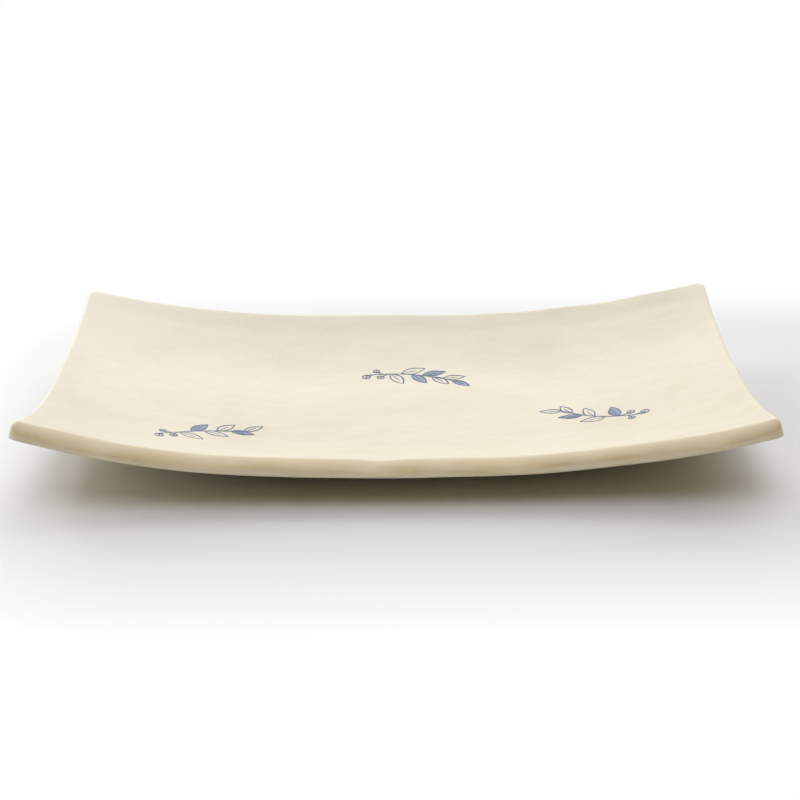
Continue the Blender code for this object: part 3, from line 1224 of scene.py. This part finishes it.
def pale_table():
    """Matt pale surface that fades to white away from the plate, and as painted light over part of its
    shadow at the left.
    """
    material, tree = new_finish("pale_table")
    shader = tree.nodes["Principled BSDF"]
    shader.inputs["Roughness"].default_value = TABLE_ROUGHNESS
    clouds = ranged(tree, cloud_field(tree, TABLE_CLOUDS), 0.3, 0.7)
    feed_surface(tree, "Base Color", blended(tree, clouds, *TABLE_TONES))
    far = ranged(tree, away_from_plate(tree), FADE_START, FADE_END)
    white = add_node(tree, "ShaderNodeEmission").outputs["Emission"]
    share = joined(tree, "MULTIPLY", far, seen_directly(tree))
    fade = add_node(tree, "ShaderNodeMixShader", {"Fac": share, 1: shader.outputs["BSDF"], 2: white})
    tree.links.new(fade.outputs["Shader"], tree.nodes["Material Output"].inputs["Surface"])
    return material


table.data.materials.append(pale_table())
print(f"the table is white {FADE_END / MM:.0f} mm away from the plate")

# %% [markdown]
# ## The light
#
# Two broad soft lamps stand behind the plate, a low one to the left and a higher one to the right,
# like two windows. They leave the front edge and the table before it in shade. A weak lamp overhead
# and one high in front lift the shade. One lamp could do for a product picture, but its shadow would
# be darker and longer. Each lamp is written as where it stands round the plate, how high, and how
# strong. A colour comes out about as it is written, and nothing on the pale face burns out.

# %% The light
LAMP_DISTANCE = 1.6
LAMP_SIZE = 1.3
LAMPS = {
    "left_window": (149, 23, 13.6),
    "right_window": (54, 37, 10.6),
    "overhead": (90, 74, 5.0),
    "front_fill": (262, 69, 9.0),
}


def add_lamp(name, round_plate, height, watts):
    """Set up a soft round lamp: its place as two angles in degrees, counted from the right end."""
    lamp_data = bpy.data.lights.new(name, "AREA")
    lamp_data.shape = "DISK"
    lamp_data.size = LAMP_SIZE
    lamp_data.energy = watts
    around, above = math.radians(round_plate), math.radians(height)
    level = Vector((math.cos(around), math.sin(around), 0)) * math.cos(above)
    lamp = bpy.data.objects.new(name, lamp_data)
    lamp.location = LAMP_DISTANCE * (level + Vector((0, 0, math.sin(above))))
    lamp.rotation_euler = (-lamp.location).to_track_quat("-Z", "Y").to_euler()
    bpy.context.scene.collection.objects.link(lamp)


for name, setting in LAMPS.items():
    add_lamp(name, *setting)
print("lamps:", ", ".join(LAMPS))

# %% [markdown]
# ## The sky
#
# A studio's white walls light the plate a little from all sides. More lamps could do that, but the
# world does it with one number. Rays that show it see full white, so the background is white.

# %% The sky
SKY_FILL = 0.12
sky = bpy.data.worlds.new("white_studio")
sky.use_nodes = True
tree = sky.node_tree
background = tree.nodes["Background"]
background.inputs["Color"].default_value = (1.0, 1.0, 1.0, 1.0)
level = ranged(tree, seen_directly(tree), 0.0, 1.0, SKY_FILL, 1.0)
tree.links.new(level, background.inputs["Strength"])
bpy.context.scene.world = sky
bpy.context.scene.view_settings.view_transform = "Standard"
print(f"the sky lights the plate with a strength of {SKY_FILL}")

# %% [markdown]
# ## The camera
#
# The photograph was taken from in front and a little above, with a long lens. Such a camera can be
# placed by eye. Here its place comes from fitting the plate's outline. Its axes are written straight
# into its matrix, because a tilt about the line of sight is awkward with tracking constraints.

# %% The camera
ELEVATION = math.radians(21.729)
YAW = math.radians(0.246)
DISTANCE = 0.622
AIM_RIGHT = math.tan(math.radians(0.117))
AIM_UP = math.tan(math.radians(0.825))
TILT = math.radians(-0.616)
LENS = 76.3
SENSOR = 36.0

camera_data = bpy.data.cameras.new("camera")
camera_data.lens = LENS
camera_data.sensor_width = SENSOR
camera = bpy.data.objects.new("camera", camera_data)
bpy.context.scene.collection.objects.link(camera)
bpy.context.scene.camera = camera

level_y = -math.cos(YAW) * math.cos(ELEVATION)
place = DISTANCE * Vector((math.sin(YAW) * math.cos(ELEVATION), level_y, math.sin(ELEVATION)))
ahead = -place.normalized()
right = ahead.cross(Vector((0, 0, 1))).normalized()
ahead = (ahead + AIM_RIGHT * right + AIM_UP * right.cross(ahead)).normalized()
right = ahead.cross(Vector((0, 0, 1))).normalized()
up = right.cross(ahead)
tilted_right = math.cos(TILT) * right + math.sin(TILT) * up
tilted_up = math.cos(TILT) * up - math.sin(TILT) * right
axes = Matrix((tilted_right, tilted_up, -ahead)).transposed()
camera.matrix_world = Matrix.Translation(place) @ axes.to_4x4()
print("camera at", [round(value, 3) for value in place])

# %% [markdown]
# ## The end of the lesson
#
# The box of the finished plate is measured against the box of the CAD model.

# %% Measure and finish
visual_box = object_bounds()
cad_size, visual_size = [Vector(high) - Vector(low) for low, high in (cad_box, visual_box)]
grown = (visual_size - cad_size) / MM
print("visual box less CAD box, in mm:", [round(value, 2) for value in grown])
